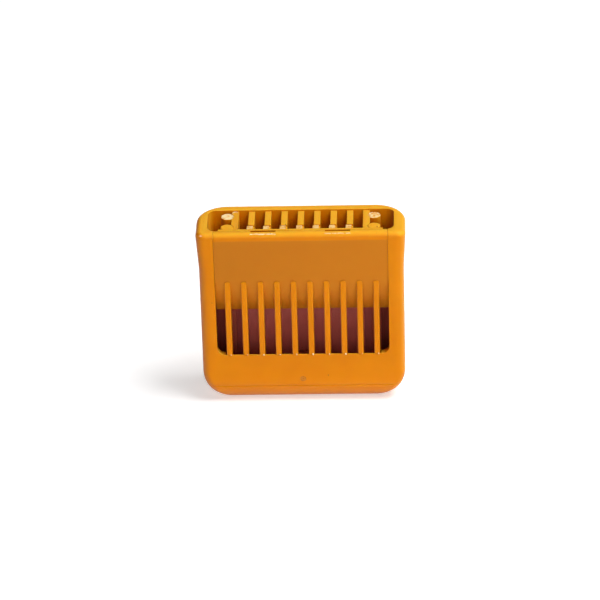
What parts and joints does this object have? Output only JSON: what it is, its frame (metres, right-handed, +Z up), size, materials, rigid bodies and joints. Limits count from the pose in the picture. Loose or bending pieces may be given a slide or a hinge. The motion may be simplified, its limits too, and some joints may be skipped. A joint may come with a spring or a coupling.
{
  "type": "pheromone insect trap",
  "caption": "Flat upright moulded trap with a slatted hooded front and a comb in its open mouth, lifting off a base tray that carries a glue board and a lure.",
  "frame": {"origin": "middle of the flat underside", "axes": "+Z up, +X along the long side, -Y towards the slatted front"},
  "size_m": [0.0604, 0.0188, 0.0561],
  "materials": {
    "housing_plastic": "injection-moulded orange polypropylene, semi-gloss",
    "carrier_plastic": "moulded orange polypropylene, matt",
    "board_card": "red-brown coated card",
    "trapping_glue": "tacky amber-brown glue film",
    "septum_rubber": "moulded red-brown rubber",
    "pheromone_wax": "pale waxy pellet"
  },
  "bodies": {
    "base_tray": {"base_cover": "housing_plastic", "board_carrier": "carrier_plastic", "lure_cup": "carrier_plastic", "lure_septum": "septum_rubber", "lure_fill": "pheromone_wax"},
    "housing": {"housing_shell": "housing_plastic", "front_hood": "housing_plastic", "slat_01": "housing_plastic", "slat_02": "housing_plastic", "slat_03": "housing_plastic", "slat_04": "housing_plastic", "slat_05": "housing_plastic", "slat_06": "housing_plastic", "slat_07": "housing_plastic", "slat_08": "housing_plastic", "slat_09": "housing_plastic", "slat_10": "housing_plastic"},
    "top_comb": {"comb_frame": "housing_plastic", "comb_bar_1": "housing_plastic", "comb_bar_2": "housing_plastic", "comb_bar_3": "housing_plastic", "comb_bar_4": "housing_plastic", "comb_bar_5": "housing_plastic", "comb_bar_6": "housing_plastic", "comb_bar_7": "housing_plastic", "stake_pin_back_left": "housing_plastic", "stake_pin_front_left": "housing_plastic", "stake_pin_back_right": "housing_plastic", "stake_pin_front_right": "housing_plastic"},
    "glue_card": {"glue_board": "board_card", "glue_layer": "trapping_glue"}
  },
  "joints": [
    {"name": "housing_lift", "type": "slide", "parent": "base_tray", "child": "housing", "axis": [0, 0, 1], "range_m": [0, 0.04]},
    {"name": "comb_lift", "type": "slide", "parent": "housing", "child": "top_comb", "axis": [0, 0, 1], "range_m": [0, 0.014]},
    {"name": "board_slide", "type": "slide", "parent": "base_tray", "child": "glue_card", "axis": [0, 0, 1], "range_m": [0, 0.011]}
  ]
}
